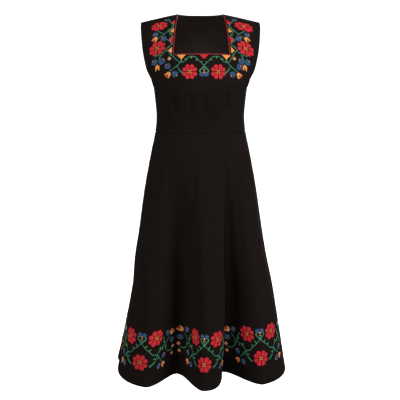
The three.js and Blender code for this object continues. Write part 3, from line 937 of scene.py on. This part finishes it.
def placeHemStitches(unit, cells, places):
    heights, around, lineRows, run = places
    keys = sorted(cells)
    columns = np.array([k[0] for k in keys], float)
    down = np.array([k[1] for k in keys], float)
    corners = []
    perGore = (len(around) - 1) // 6
    for dx, dy in ((-0.5, 0.5), (0.5, 0.5), (0.5, -0.5), (-0.5, -0.5)):
        wide = np.abs(columns + dx)
        inner = hemPitch["stretched"]
        wide += unit.get("stretch", 0) * (np.minimum(wide, inner) - np.clip(wide - inner, 0, inner))
        s = np.sign(columns + dx) * wide * hemPitch["across"]
        lean = unit["tilt"] * hemPitch["leanReach"] * np.tanh(s / hemPitch["leanReach"])
        v = unit["height"] - (down + dy - hemPitch["crossingRow"]) * hemPitch["up"] + lean
        spot = np.clip((v - heights[0]) / (heights[1] - heights[0]), 0, len(heights) - 1.001)
        low = spot.astype(int)
        part = spot - low
        found, rowFound = np.zeros(len(s)), np.zeros(len(s))
        for step, weight in ((0, 1 - part), (1, part)):
            line = low + step
            for j in np.unique(line):
                here = line == j
                first = run[j, unit["gore"] * perGore]
                last = run[j, (unit["gore"] + 1) * perGore]
                at = (first + last) / 2 + unit["shift"] + s[here]
                at = np.mod(at, run[j, -1])
                place = np.interp(at, run[j], around)
                if unit["gore"] == 0:
                    place = np.where(place > 3, place - 6, place)
                if unit["gore"] == 5:
                    place = np.where(place < 3, place + 6, place)
                found[here] += weight[here] * place
                rowFound[here] += weight[here] * np.interp(np.mod(place, 6), around, lineRows[j])
        point, normal = skirtSurface(found, rowFound)
        corners.append((point, normal, found))
    middle = sum(c[2] for c in corners) / 4
    owner = np.floor(np.mod(middle, 6)).astype(int)
    colours = np.array([threadOrder.index(cells[k]) for k in keys])
    quads = np.stack([c[0] for c in corners], 1)
    normals = unitVector(sum(c[1] for c in corners))
    return quads, normals, colours, owner


stitchSettings = {
    "width": 0.00066,  # half of a thread's width, for a cell of 2.3 mm
    "rise": 0.00034,
    "cover": 0.00022,  # how much the upper arm lies over the lower one
    "reach": 0.99,
    "shake": 0.05,
    "diagonal": 0.0034,  # of the cell that the width is given for
    "shoulder": 0.72,  # share of an arm that has its full width
    "swell": 0.92,
    "flank": 0.35,
    "sunk": 0.0001,
    "uvAcross": 0.001,
}


def stitchTriangles():  # two rings of four points between two tips
    pattern = []
    for k in range(4):
        n = (k + 1) % 4
        pattern += [(0, 1 + n, 1 + k), (1 + k, 1 + n, 5 + n)]
        pattern += [(1 + k, 5 + n, 5 + k), (5 + k, 5 + n, 9)]
    return np.array(pattern)


def makeStitches(name, quads, normals, colours, seed):
    settings = stitchSettings
    pattern = stitchTriangles()
    rng = np.random.default_rng(seed)
    count = len(quads)
    vertices, uvs, tones, faces, owners = [], [], [], [], []
    base = 0
    tone = np.clip(rng.normal(0.5, 0.2, count), 0, 1)
    for arm, (first, last) in enumerate(((0, 2), (1, 3))):
        start, end = quads[:, first], quads[:, last]
        middle = (start + end) / 2
        jitter = 1 + settings["shake"] * rng.standard_normal((count, 1))
        half = (end - start) / 2 * settings["reach"]
        along = unitVector(half)
        side = np.cross(normals, along)
        size = np.linalg.norm(end - start, axis=1, keepdims=True) / settings["diagonal"]
        wide = side * settings["width"] * size * jitter
        lift = normals * (settings["rise"] + arm * settings["cover"]) * jitter
        under = -normals * settings["sunk"]
        flank, swollen = lift * settings["flank"], wide * settings["swell"]
        rings = []
        for share in (-settings["shoulder"], settings["shoulder"]):
            spot = middle + half * share
            rings.append([spot + under, spot + swollen + flank, spot + lift, spot - swollen + flank])
        tips = [middle - half + under, middle + half + under]
        block = np.stack([tips[0], *rings[0], *rings[1], tips[1]], 1)  # ten points
        vertices.append(block.reshape(-1, 3))
        length = np.linalg.norm(half, axis=1)
        uAlong = np.array([0] + [0.14] * 4 + [0.86] * 4 + [1]) * 2
        vAround = np.array([0] + [-0.7, -0.35, 0, 0.35] * 2 + [0]) * settings["uvAcross"]
        uv = np.stack([uAlong * length[:, None], vAround + 0 * length[:, None]], -1)
        uv += rng.uniform(0, 0.02, (count, 1, 1))
        uvs.append(uv.reshape(-1, 2))
        tones.append(np.repeat(tone, 10))
        offsets = base + 10 * np.arange(count)
        faces.append((offsets[:, None, None] + pattern[None]).reshape(-1, 3))
        owners.append(np.repeat(colours, len(pattern)))
        base += 10 * count
    joined = [np.concatenate(part) for part in (vertices, faces, uvs, tones, owners)]
    piece = makeMesh(name, *joined)
    for material in threads:
        piece.data.materials.append(material)
    return piece


def makeHemEmbroidery():
    cells = hemChart()
    places = hemPlaces()
    parts = [placeHemStitches(unit, cells, places) for unit in hemUnits]
    quads, normals, colours, owners = [np.concatenate(part) for part in zip(*parts)]
    made = {}
    for gore, node in enumerate(gores["name"]):
        here = owners == gore
        name = "hemEmbroidery" + str(gore)
        made[node] = makeStitches(name, quads[here], normals[here], colours[here], 40 + gore)
    print("hem stitches:", len(quads))
    return made


hemEmbroidery = makeHemEmbroidery()

# Neck embroidery, charted on a grid of 2.3 mm from the neck's lower edge

triangleCells = [(depth, step) for depth in range(6) for step in range(-5 + depth, 6 - depth)]
neckPitch = 0.0023
bandMiddle = 0.007
neckRows = np.arange(-40, 101)
neckRowPitch = np.interp(neckRows, [0, 10, 26, 42], [0.0023, 0.0020, 0.0020, 0.0017])
neckHeights = np.cumsum(neckRowPitch) - neckRowPitch[:41].sum()  # lower edge of each row


def neckHeight(row):
    return np.interp(row, neckRows, neckHeights)


# Vines, twigs and ticks in millimetres: along from the middle, and up from the neck's lower edge
neckVine = {
    "band": [(0, -32), (29, -5), (45, -5), (61, -23), (77, -23)],
    "strap": [(110, 20), (89.5, 36), (102, 48), (87.5, 63), (101, 78), (83, 97), (98, 119), (98, 126)],
}
neckTwigs = {
    "band": [
        [(74, -24), (84, -34), (103, -46)],
        [(83, -34), (74, -48), (64, -54)],
        [(76, -48), (66, -56)],
    ],
    "strap": [
        [(110, 18), (123, 8), (134, -10)],
        [(123, 8), (143, 11), (146, 16)],
        [(93, 88), (113, 71), (131, 63)],
        [(113, 71), (126, 79), (133, 87)],
        [(102, 48), (108, 54)],
    ],
}
neckTicks = {
    "band": [
        ((20, -15), (24, -18)),
        ((38, -7), (40, -11)),
        ((53, -16), (58, -12)),
        ((70, -21), (70, -16)),
        ((10, -25), (6, -21)),
    ],
    "strap": [
        ((98, 5), (94, 0)),
        ((105, 24), (102, 28)),
        ((95, 42), (90, 46)),
        ((94, 71), (97, 66)),
        ((86, 102), (90, 98)),
        ((118, 12), (121, 16)),
        ((127, 1), (131, 3)),
    ],
}


def neckChart():  # columns from the band's middle, rows upwards
    cells = {}

    def toCell(x, v):
        column = (x - bandMiddle * 1000) / (neckPitch * 1000)
        return (column, np.interp(v / 1000, neckHeights, neckRows) - 0.5)

    def line(colour, *points):
        drawLine(cells, [toCell(*p) for p in points], colour)

    def chart(rows, x, v, palette, flipX=False, flipY=False):
        drawChart(cells, rows, *toCell(x, v), palette, flipX, not flipY)

    for side in (-1, 1):
        flip = side > 0

        def band(a, v):  # mirrored about the band's middle
            return (7 + side * a, v)

        def strap(a, v):  # mirrored about the neck's middle
            return (0.5 + side * a, v)

        drawFlower(cells, *toCell(*band(44, -52)))
        drawFlower(cells, *toCell(*strap(137 + flip, 32)), 1 + flip)
        drawFlower(cells, *toCell(*strap(131.5 + 2.5 * side, 105)), 2 + side)
        line("g", *[band(*p) for p in neckVine["band"]], strap(110, 20))
        line("g", *[strap(*p) for p in neckVine["strap"]])
        for twig in neckTwigs["band"]:
            line("g", *[band(*p) for p in twig])
        for twig in neckTwigs["strap"]:
            line("g", *[strap(*p) for p in twig])
        for first, last in neckTicks["band"]:
            line("G", band(*first), band(*last))
        for first, last in neckTicks["strap"]:
            line("g", strap(*first), strap(*last))
        chart(tulipChart, *band(112, -31), bluePalette, flipX=flip, flipY=True)
        chart(tulipChart, *band(112, -57), orangePalette, flipX=flip)
        chart(tulipChart, *band(88, -58), bluePalette, flipX=not flip)
        chart(diamondChart, *strap(100, -7), diamondPalette)
        chart(tulipChart, *strap(146, -6), bluePalette, flipX=flip, flipY=True)
        chart(tulipChart, *strap(122, -11), bluePalette, flipX=not flip, flipY=True)
        chart(budChart, *strap(137, -27), orangePalette, flipY=True)
        chart(tulipChart, *strap(144, 62), orangePalette, flipX=flip)
        chart(tulipChart, *strap(143, 77), bluePalette, flipX=flip, flipY=True)
        chart(tulipChart, *strap(116, 58), bluePalette, flipX=flip, flipY=True)
        chart(tulipChart, *strap(104, 131), bluePalette, flipX=flip, flipY=True)
        for v, colour in ((17, "o"), (48, "r"), (79, "o"), (113, "r")):  # triangles on the side piping
            edge = neckEdge(v / 1000) * 1000 + 1.5
            for depth, step in triangleCells:
                x, y = toCell(side * (edge + 1.2 + depth * 2.3), v + step * 2)
                paint(cells, x, y, colour)
        tip = toCell(*band(68, 0))
        for depth, step in triangleCells:
            paint(cells, tip[0] + step, -1 - depth, "o")
    for depth, step in triangleCells:
        paint(cells, step, -1 - depth, "r")
    chart(carnationChart, 7, -50.5, {}, flipY=True)
    return cells


def neckEdge(height):
    up = np.clip(height / 0.150, 0, 1)
    return mix(neckCut["halfBottom"], neckCut["halfTop"], up)


def placeNeckStitches(cells):
    keys = sorted(cells)
    columns = np.array([k[0] for k in keys], float)
    ups = np.array([k[1] for k in keys], float)
    rows = np.linspace(1, 1.9999, 700)
    edge = curveThrough(yokeCurves["frontEdge"], "at", "x", rows - 1)
    corners = []
    good = np.ones(len(keys), bool)
    for dx, dy in ((-0.5, -0.5), (0.5, -0.5), (0.5, 0.5), (-0.5, 0.5)):
        x = bandMiddle + (columns + dx) * neckPitch
        v = neckHeight(ups + 0.5 + dy)
        found = np.zeros(len(keys))
        for value in np.unique(x):
            here = x == value
            inside = edge > abs(value) + 0.002
            if inside.sum() < 10:
                good[here] = False
                continue
            useRows = rows[inside]
            degrees = np.degrees(np.arcsin(value / edge[inside]))
            line = bodicePoint(degrees, useRows)
            run = np.concatenate([[0], np.cumsum(np.linalg.norm(np.diff(line, axis=0), axis=1))])
            run -= np.interp(1 + neckCut["bottom"], useRows, run)
            good[here] &= (v[here] > run[0]) & (v[here] < run[-1] - 0.002)
            found[here] = np.interp(v[here], run, useRows)
        limit = curveThrough(yokeCurves["frontEdge"], "at", "x", found - 1)
        degrees = np.degrees(np.arcsin(np.clip(x / limit, -1, 1)))
        inNeck = (found > 1 + neckCut["bottom"] + 0.0005) & (np.abs(degrees) < neckAngle(found) + 0.35)
        good &= ~inNeck & (np.abs(x) < limit - 0.004)
        point, normal = bodiceSurface(degrees, found)
        corners.append((point, normal))
    quads = np.stack([c[0] for c in corners], 1)[good]
    normals = unitVector(sum(c[1] for c in corners))[good]
    colours = np.array([threadOrder.index(cells[k]) for k in keys])[good]
    return quads, normals, colours


neckCells = neckChart()
neckEmbroidery = makeStitches("neckEmbroidery", *placeNeckStitches(neckCells), 60)
print("neck stitches:", len(neckCells))

# Neck piping

pipingSettings = {
    "radius": 0.0012,
    "offset": 0.0019,
    "sink": 0.0009,
    "around": 12,
    "step": 0.0022,
    "twist": 0.0042,  # length of one turn of the cord
    "twistDepth": 0.05,
    "colour": (0.21, 0.008, 0.014),
    "roughness": 0.6,
    "ply": 420,
}


def pipingPath():
    settings = pipingSettings
    lowRow = 1 + neckCut["bottom"]

    def plainPoint(degrees, row):
        return bodicePoint(np.array([degrees]), np.array([row]))[0]

    def centre(degrees, row, towards):
        point, normal = bodiceSurface(np.array([degrees]), np.array([row]))
        point, normal = point[0], normal[0]
        upwards = plainPoint(degrees, row + 0.01) - plainPoint(degrees, row - 0.01)
        sideways = plainPoint(degrees + 0.5, row) - plainPoint(degrees - 0.5, row)
        if towards == "up":
            direction = np.cross(unitVector(sideways), -normal)
        else:
            direction = np.cross(unitVector(upwards), normal) * towards
        return point - normal * settings["sink"] + unitVector(direction) * settings["offset"]

    rows = np.linspace(1.9975, lowRow + 0.012, 60)
    left = [centre(-float(neckAngle(row)), row, 1) for row in rows]
    right = [centre(float(neckAngle(row)), row, -1) for row in rows[::-1]]
    corner = float(neckAngle(lowRow))
    across = np.linspace(-corner, corner, 90)[2:-2]
    low = [centre(degrees, lowRow, "up") for degrees in across]
    return np.array(left + low + right)


def evenSpacing(path, step):
    run = np.concatenate([[0], np.cumsum(np.linalg.norm(np.diff(path, axis=0), axis=1))])
    at = np.linspace(0, run[-1], int(run[-1] / step) + 1)
    return np.stack([np.interp(at, run, path[:, i]) for i in range(3)], 1), at


def makePiping():
    settings = pipingSettings
    path, at = evenSpacing(pipingPath(), settings["step"])
    for _ in range(2):
        path[1:-1] = (path[:-2] + 2 * path[1:-1] + path[2:]) / 4
    tangent = unitVector(np.gradient(path, axis=0))
    reference = np.array([0.0, -1.0, 0.25])
    side = unitVector(np.cross(tangent, reference))
    other = unitVector(np.cross(side, tangent))
    count, around = len(path), settings["around"]
    angles = np.arange(around) / around * 2 * math.pi
    turns = at[:, None] / settings["twist"] * 2 * math.pi
    ribs = 1 + settings["twistDepth"] * np.sin(turns + angles[None, :] * 2)
    radius = settings["radius"] * ribs
    ring = np.cos(angles)[None, :, None] * side[:, None]
    ring = ring + np.sin(angles)[None, :, None] * other[:, None]
    vertices = (path[:, None] + ring * radius[..., None]).reshape(-1, 3)
    index = np.arange(count * around).reshape(count, around)
    turned = np.roll(index, -1, axis=1)
    faces = np.stack([index[:-1], turned[:-1], turned[1:], index[1:]], -1).reshape(-1, 4)
    caps = []
    vertices = np.concatenate([vertices, path[:1], path[-1:]])
    for k in range(0, around, 2):
        n, m = (k + 1) % around, (k + 2) % around
        caps.append((count * around, index[0, m], index[0, n], index[0, k]))
        caps.append((count * around + 1, index[-1, k], index[-1, n], index[-1, m]))
    faces = np.concatenate([faces, np.array(caps)])
    uvs = np.stack([np.repeat(at, around), np.tile(angles * settings["radius"], count)], 1)
    uvs = np.concatenate([uvs, [[0, 0], [at[-1], 0]]])
    return makeMesh("neckPiping", vertices, faces, uvs, np.full(len(vertices), 0.45))


piping = makePiping()
pipingLook = {**threadLook, "roughness": pipingSettings["roughness"], "ply": pipingSettings["ply"]}
piping.data.materials.append(makeThreadMaterial("piping_cloth", pipingSettings["colour"], pipingLook))
print("neck piping made")

# Riding and replacing

clothPieces = {**bodicePieces, **skirtPieces}

for node, piece in clothPieces.items():
    piece.data.materials.append(cloth)
    joinFrame(piece, "dress_cloth", node)
for piece in [*hemEmbroidery.values(), neckEmbroidery]:
    joinFrame(piece, "thread")
joinFrame(piping, "thread", "neck_piping_left", "neck_piping_front", "neck_piping_right")
print("pieces joined to the frame")

# Floor, backdrop and light

stageSettings = {
    "floor": -1.45,
    "front": -4.5,
    "back": 2.6,
    "bend": 1.4,
    "height": 4.5,
    "width": 9,
    "glow": 1.0,
    "greys": (0.90, 0.93),
}


def makeStage(settings):
    floor, back, bend = settings["floor"], settings["back"], settings["bend"]
    profile = [(settings["front"], floor)]
    for i in range(13):
        angle = i / 12 * math.pi / 2
        profile.append((back + bend * math.sin(angle), floor + bend * (1 - math.cos(angle))))
    profile.append((back + bend, settings["height"]))
    vertices, faces = [], []
    for y, z in profile:
        vertices += [(-settings["width"], y, z), (settings["width"], y, z)]
    for i in range(len(profile) - 1):
        faces.append((2 * i, 2 * i + 1, 2 * i + 3, 2 * i + 2))
    mesh = bpy.data.meshes.new("backdrop")
    mesh.from_pydata(vertices, [], faces)
    mesh.polygons.foreach_set("use_smooth", [True] * len(faces))
    backdrop = bpy.data.objects.new("backdrop", mesh)
    scene.collection.objects.link(backdrop)
    material, tree, shader = newMaterial("pale_paper")
    setInputs(shader, {"Roughness": 0.9, "Specular IOR Level": 0.1})
    setInputs(shader, {"Emission Color": (1, 1, 1, 1), "Emission Strength": settings["glow"]})
    noise = addNode(tree, "TexNoise", {"Scale": 2})
    ramp = addNode(tree, "ValToRGB")
    for stop, grey in zip(ramp.color_ramp.elements, settings["greys"]):
        stop.color = (grey, grey, grey, 1)
    link(tree, noise, "Fac", ramp, "Fac")
    link(tree, ramp, "Color", shader, "Base Color")
    mesh.materials.append(material)
    backdrop.visible_diffuse = False  # only the lamps light the dress
    backdrop.visible_glossy = False


lights = [
    {"name": "rightSoftbox", "place": (2.4, -1.6, 0.0), "aim": (0, 0, -0.6), "size": 1.3, "power": 104},
    {"name": "leftSoftbox", "place": (-2.4, -1.4, 0.0), "aim": (0, 0, -0.6), "size": 1.3, "power": 52},
    {"name": "front", "place": (-0.3, -1.7, 0.15), "aim": (0, 0, -0.3), "size": 0.9, "power": 10.5},
    {"name": "top", "place": (0.1, -1.2, 2.2), "aim": (0, 0.1, -0.1), "size": 1.0, "power": 28},
    {"name": "back", "place": (1.1, 2.7, 0.4), "aim": (0, 0, -0.6), "size": 1.6, "power": 70},
    {"name": "insideNeck", "place": (0, -0.02, -0.22), "aim": (0, 0.085, -0.05), "size": 0.12, "power": 0.5},
]
worldLight = {"strength": 0.10, "seen": 0.86}  # what lights the dress, and what the camera sees


def makeLights():
    for entry in lights:
        data = bpy.data.lights.new(entry["name"], "AREA")
        data.shape = "SQUARE"
        data.size = entry["size"]
        data.energy = entry["power"]
        lamp = bpy.data.objects.new(entry["name"], data)
        scene.collection.objects.link(lamp)
        lamp.location = entry["place"]
        towards = Vector(entry["aim"]) - Vector(entry["place"])
        lamp.rotation_euler = towards.to_track_quat("-Z", "Y").to_euler()
    world = bpy.data.worlds.new("studio")
    scene.world = world
    world.use_nodes = True
    tree = world.node_tree
    tree.nodes["Background"].inputs["Color"].default_value = (1, 1, 1, 1)
    ray = addNode(tree, "LightPath")
    strength = addNode(tree, "MapRange", {"To Min": worldLight["strength"], "To Max": worldLight["seen"]})
    link(tree, ray, "Is Camera Ray", strength, "Value")
    link(tree, strength, "Result", tree.nodes["Background"], "Strength")


makeStage(stageSettings)
makeLights()
scene.view_settings.view_transform = "Standard"
print("floor and lights placed")
